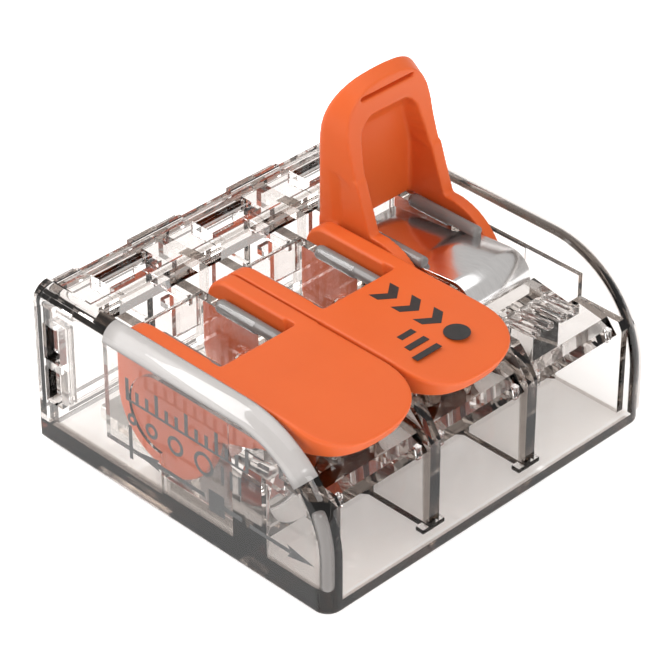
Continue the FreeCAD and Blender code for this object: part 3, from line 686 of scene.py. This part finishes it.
def wall_marks():
    """Strip gauge, plain rings, bars and a bare scale printed on the left wall; drawn as (y, z)."""
    bm = bmesh.new()
    low, high = 0.002, 0.02
    line, arrow_half = 0.12, 0.34
    rear_z, front_z = 2.98, 2.82
    add_slab(bm, bar(3.05, 2.35, 3.3, 4.4), low, high)
    add_slab(bm, [(3.0, rear_z), (1.1, rear_z + arrow_half), (1.35, rear_z), (1.1, 2.62)], low, high)
    add_slab(bm, bar(1.3, rear_z - line, -2.1, rear_z + line), low, high)
    add_slab(bm, bar(-5.2, front_z - line, -8.0, front_z + line), low, high)
    add_slab(bm, [(-9.6, front_z), (-7.8, 3.16), (-8.05, front_z), (-7.8, 2.46)], low, high)
    add_slab(bm, bar(-2.4, 2.25, -3.5, 3.55), low, high)
    add_slab(bm, bar(-3.5, 2.75, -4.7, 3.05), low, high)
    scale_start, scale_pitch, scale_low, tick_wide = 3.4, 0.7, 6.0, 0.24
    for n in range(13):
        at = scale_start - scale_pitch * n
        tall = 1.2 if n % 3 == 0 else 0.65
        add_slab(bm, bar(at, scale_low, at - tick_wide, scale_low + tall), low, high)
    add_slab(bm, bar(scale_start, 5.86, scale_start - scale_pitch * 12 - 0.17, scale_low), low, high)
    for at, radius in ((3.0, 0.34), (1.6, 0.44), (-0.1, 0.56), (-2.1, 0.68)):
        add_ring(bm, at, 4.85, radius, 0.2, low, high)
    for at in (-3.3, -3.9, -4.5):
        add_slab(bm, bar(at, 4.3, at - 0.2, 5.4), low, high)
    wall = CAD_BOX[0][0]
    place = Matrix(((0, 0, MM, wall), (MM, 0, 0, 0), (0, MM, 0, 0), (0, 0, 0, 1)))
    piece = finished("wall_marks", bm, place, GREY_INK)
    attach(piece, "root")


# ---------------------------------------------------------------- small clear details

PATTERNED_POLE = 3
PATTERN_FRONT = -7.9
PATTERN_REAR = -5.9
BROW_TOP = 7.2
BROW_REAR = 3.4
BROW_SLOPE = (0.9, 5.5)
CLEAR_EDGES = softened(0.05)


def add_block(bm, x_range, y_range, z_range):
    """A box from ranges along X, Y and Z."""
    add_prism(bm, [(y_range[0], z_range[0]), (y_range[1], z_range[0]),
                   (y_range[1], z_range[1]), (y_range[0], z_range[1])], *x_range)


def brow_height(y):
    """Top of the sloping brow above an entry."""
    fall, run = BROW_SLOPE
    return BROW_TOP - (abs(y) - BROW_REAR) * fall / run


def clear_details():
    """Raised bars on the third pole's brow, knobs beside the partitions, rails and ribs at the roof."""
    bm = bmesh.new()
    for pole in POLES:
        x = pole_x(pole)
        for step in range(4 if pole == PATTERNED_POLE else 0):
            at = x - 1.5 + step * 0.95
            outline = [(at, PATTERN_REAR), (at + 0.4, PATTERN_REAR),
                       (at + 0.75, PATTERN_FRONT), (at + 0.35, PATTERN_FRONT)]
            add_slab(bm, outline, brow_height(PATTERN_REAR) - 0.3, brow_height(PATTERN_REAR) + 0.12)
        for side in (-1, 1):
            add_block(bm, sorted((x + side * 2.5, x + side * 2.85)), (-9.5, -9.15), (5.2, 5.95))
        add_block(bm, (x - 2.2, x + 2.2), (4.9, 5.15), (6.4, 8.25))
        add_block(bm, (x - 1.55, x - 1.3), (5.2, 9.3), (7.7, 8.28))
        add_block(bm, (x + 1.3, x + 1.55), (5.2, 9.3), (7.7, 8.28))
        add_block(bm, (x - 3.0, x + 3.0), (9.38, 9.62), (8.2, 9.1))
    piece = finished("clear_details", bm, TO_METRES, CLEAR, CLEAR_EDGES)
    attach(piece, "root")


# ---------------------------------------------------------------- painted shade and painted highlights along the clear mouldings

WALL_FRONT = -10.5
NOSE_MIDDLE = (-4.3, 3.15)
NOSE_RADIUS = 6.2
RAIL_TOP = 9.35
RAIL_EDGE = -10.46
ROUND_OUT = [("SUBSURF", {"levels": 2})]


def add_tube(bm, path, radius):
    """A round bar along a path of points, eight sides."""
    rings = []
    for n, point in enumerate(path):
        before, after = Vector(path[max(0, n - 1)]), Vector(path[min(len(path) - 1, n + 1)])
        along = (after - before).normalized()
        side = along.cross(Vector((0, 0, 1)) if abs(along.z) < 0.9 else Vector((0, 1, 0))).normalized()
        up = along.cross(side)
        rings.append([Vector(point) + (side * a + up * b) for a, b in arc((0, 0), radius, 0, 315, 7)])
    add_sections(bm, rings)


def rail_path(x, drop, back):
    """Along the front edge of a side wall, over its nose and back along its top."""
    path = [(x, WALL_FRONT + drop, 0.6), (x, WALL_FRONT + drop, 3.0)]
    path += [(x, y, z) for y, z in arc(NOSE_MIDDLE, NOSE_RADIUS - drop, 180, 90, 16)]
    return path + [(x, -1.0, RAIL_TOP - drop), (x, back, RAIL_TOP - drop)]


def painted_shade_bars():
    """Painted shade: smoky bars inside the edges of the clear mouldings, and a thin tinted sheet in the
    floor that darkens it.
    """
    bm = bmesh.new()
    add_tube(bm, [(-10.4, -10.24, 0.26), (10.4, -10.24, 0.26)], 0.17)
    add_block(bm, (-11.42, -10.75), (-9.9, 9.6), (0.12, 1.5))
    add_block(bm, (-10.7, 10.7), (-10.0, 4.0), (0.3, 0.38))
    add_tube(bm, [(11.15, -9.6, 0.3), (11.15, 9.5, 0.3)], 0.2)
    for x in (-3.45, 3.45):
        add_tube(bm, [(x, -9.5, 0.5), (x, -9.45, 2.5), (x, -9.4, 5.6)], 0.27)
        add_tube(bm, [(x, -9.3, 5.9), (x, -8.6, 6.5), (x, -7.0, 6.9)], 0.24)
    add_tube(bm, rail_path(11.25, 0.28, 9.0), 0.12)
    add_tube(bm, rail_path(10.62, 0.22, 5.8), 0.12)
    add_tube(bm, [(-10.5, -10.33, 0.6), (-10.5, -10.33, 3.2), (-10.5, -9.85, 5.3)], 0.1)
    add_tube(bm, [(-10.3, 6.6, 9.15), (10.3, 6.6, 9.15)], 0.14)
    piece = finished("painted_shade_bars", bm, TO_METRES, SHADE_PAINT_GLASS, smooth=True)
    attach(piece, "root")


def painted_bead_cores():
    """Painted shade and highlight: opaque grey cores inside the beads along the bearing walls."""
    bm = bmesh.new()
    for pole in POLES:
        for side in (-1, 1):
            across = pole_x(pole) + side * 1.99
            add_tube(bm, [(across, y, 8.2) for y in (3.65, 3.45, 0, -0.9, -1.1)], 0.37)
    piece = finished("painted_bead_cores", bm, TO_METRES, SHADE_PAINT_GREY, ROUND_OUT, smooth=True)
    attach(piece, "root")


def painted_front_column():
    """Painted shade and highlight: an opaque grey column in the rounded corner under the left rail's nose.
    """
    bm = bmesh.new()
    across = -11.02
    path = [(across, -10.05, z) for z in (1.4, 1.9, 2.5, 3.15)]
    path += [(across, y, z) for y, z in arc(NOSE_MIDDLE, 5.75, 175, 152, 5)]
    add_tube(bm, path, 0.36)
    piece = finished("painted_front_column", bm, TO_METRES, SHADE_PAINT_GREY, ROUND_OUT, smooth=True)
    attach(piece, "root")


def painted_rail_highlight():
    """Painted highlight: an opaque grey strip for the bright rounded rail beside the first lever, down to
    its nose.
    """
    nose_y, nose_z = NOSE_MIDDLE
    spots = [(y, RAIL_TOP) for y in stations(5.0, nose_y, 10)]
    for angle in range(84, 39, -6):
        turn = math.radians(angle)
        spots.append((nose_y - NOSE_RADIUS * math.cos(turn), nose_z + NOSE_RADIUS * math.sin(turn)))
    outside = arc((-10.57, 0.9), 0.87, 180, 270, 8)
    inside = list(reversed(arc((-10.57, 0.9), 0.77, 180, 270, 8)))
    profile = outside + [(RAIL_EDGE, 0.03), (RAIL_EDGE, 0.12)] + inside
    sections = []
    for n, (y, z) in enumerate(spots):
        before, after = spots[max(0, n - 1)], spots[min(len(spots) - 1, n + 1)]
        along = Vector((0, after[0] - before[0], after[1] - before[1])).normalized()
        inward = along.cross(Vector((1, 0, 0)))
        if inward.z > 0:
            inward.negate()
        sections.append([Vector((across, y, z)) + inward * deep for across, deep in profile])
    bm = bmesh.new()
    add_sections(bm, sections)
    piece = finished("painted_rail_highlight", bm, TO_METRES, RAIL_HIGHLIGHT_PAINT, smooth=True)
    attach(piece, "root")


# ---------------------------------------------------------------- stage

TARGET = Vector((-0.618, 0, 6.156)) * MM
AZIMUTH, ELEVATION = math.radians(-45.03), math.radians(34.9)
DISTANCE = 0.15996
LENS = 173.2
MIDDLE = Vector((0, 0, 0.005))
FLOOR_HALF = 0.35
FLOOR_HEIGHT = -0.00002
BOUNCES = 24


def look_at(item, place, target):
    item.location = place
    item.rotation_euler = (target - place).to_track_quat("-Z", "Y").to_euler()


def build_camera():
    """Camera from the front left, above."""
    data = bpy.data.cameras.new("camera")
    camera = bpy.data.objects.new("camera", data)
    bpy.context.scene.collection.objects.link(camera)
    data.lens = LENS
    data.sensor_width = 36
    data.clip_start = 0.005
    data.clip_end = 5
    away = Vector((math.sin(AZIMUTH) * math.cos(ELEVATION),
                   -math.cos(AZIMUTH) * math.cos(ELEVATION), math.sin(ELEVATION)))
    look_at(camera, TARGET + away * DISTANCE, TARGET)
    bpy.context.scene.camera = camera


def add_light(name, place, size, power, long_way=(1, 0, 0)):
    """A rectangular lamp aimed at the middle; long_way is the direction of its first size."""
    data = bpy.data.lights.new(name, "AREA")
    data.shape = "RECTANGLE"
    data.size, data.size_y = size
    data.energy = power
    light = bpy.data.objects.new(name, data)
    bpy.context.scene.collection.objects.link(light)
    away = (Vector(place) - MIDDLE).normalized()
    long_side = Vector(long_way) - away * away.dot(Vector(long_way))
    long_side.normalize()
    turn = Matrix((long_side, away.cross(long_side), away)).transposed()
    light.matrix_world = Matrix.Translation(Vector(place)) @ turn.to_4x4()


def build_stage():
    """Pale glowing floor, three lamps and a soft surround."""
    bm = bmesh.new()
    corners = [bm.verts.new((x, y, FLOOR_HEIGHT)) for x, y in bar(-FLOOR_HALF, -FLOOR_HALF,
                                                                  FLOOR_HALF, FLOOR_HALF)]
    bm.faces.new(corners)
    material, tree, output = blank_material("floor_white")
    shader = tree.nodes.new("ShaderNodeBsdfPrincipled")
    shader.inputs["Roughness"].default_value = 0.9
    shader.inputs["Specular IOR Level"].default_value = 0.1
    tree.links.new(blend_colours(tree, noise(tree, 30, 2), (0.93, 0.93, 0.93), (0.95, 0.95, 0.95)),
                   shader.inputs["Base Color"])
    shader.inputs["Emission Color"].default_value = (1, 1, 1, 1)
    shader.inputs["Emission Strength"].default_value = 0.5
    tree.links.new(shader.outputs["BSDF"], output.inputs["Surface"])
    floor = new_object("studio_floor", mesh_from("studio_floor", bm), material)
    add_light("top_softbox", (0.02, 0.02, 0.42), (0.42, 0.42), 0.60)
    add_light("rail_strip", (-0.23, 0.235, 0.235), (0.55, 0.10), 1.0, (0.71, 0, 0.70))
    add_light("front_softbox", (-0.10, -0.34, 0.20), (0.25, 0.16), 0.55)
    world = bpy.data.worlds.new("studio")
    world.use_nodes = True
    background = world.node_tree.nodes["Background"]
    background.inputs["Color"].default_value = (0.58, 0.56, 0.545, 1)
    background.inputs["Strength"].default_value = 1.0
    scene = bpy.context.scene
    scene.world = world
    scene.view_settings.view_transform = "Standard"
    scene.cycles.max_bounces = BOUNCES
    scene.cycles.transmission_bounces = BOUNCES
    scene.cycles.transparent_max_bounces = BOUNCES
    scene.cycles.glossy_bounces = 10


# ---------------------------------------------------------------- all of it

build_camera()
dress_cad("main_housing", CLEAR, 0.08)
dress_cad("rear_cover", CLEAR, 0.08)
dress_cad("busbar", TIN, 0.06)
build_levers()
build_springs()
painted_shade_bars()
painted_bead_cores()
painted_front_column()
painted_rail_highlight()
lever_marks()
wall_marks()
clear_details()
build_stage()
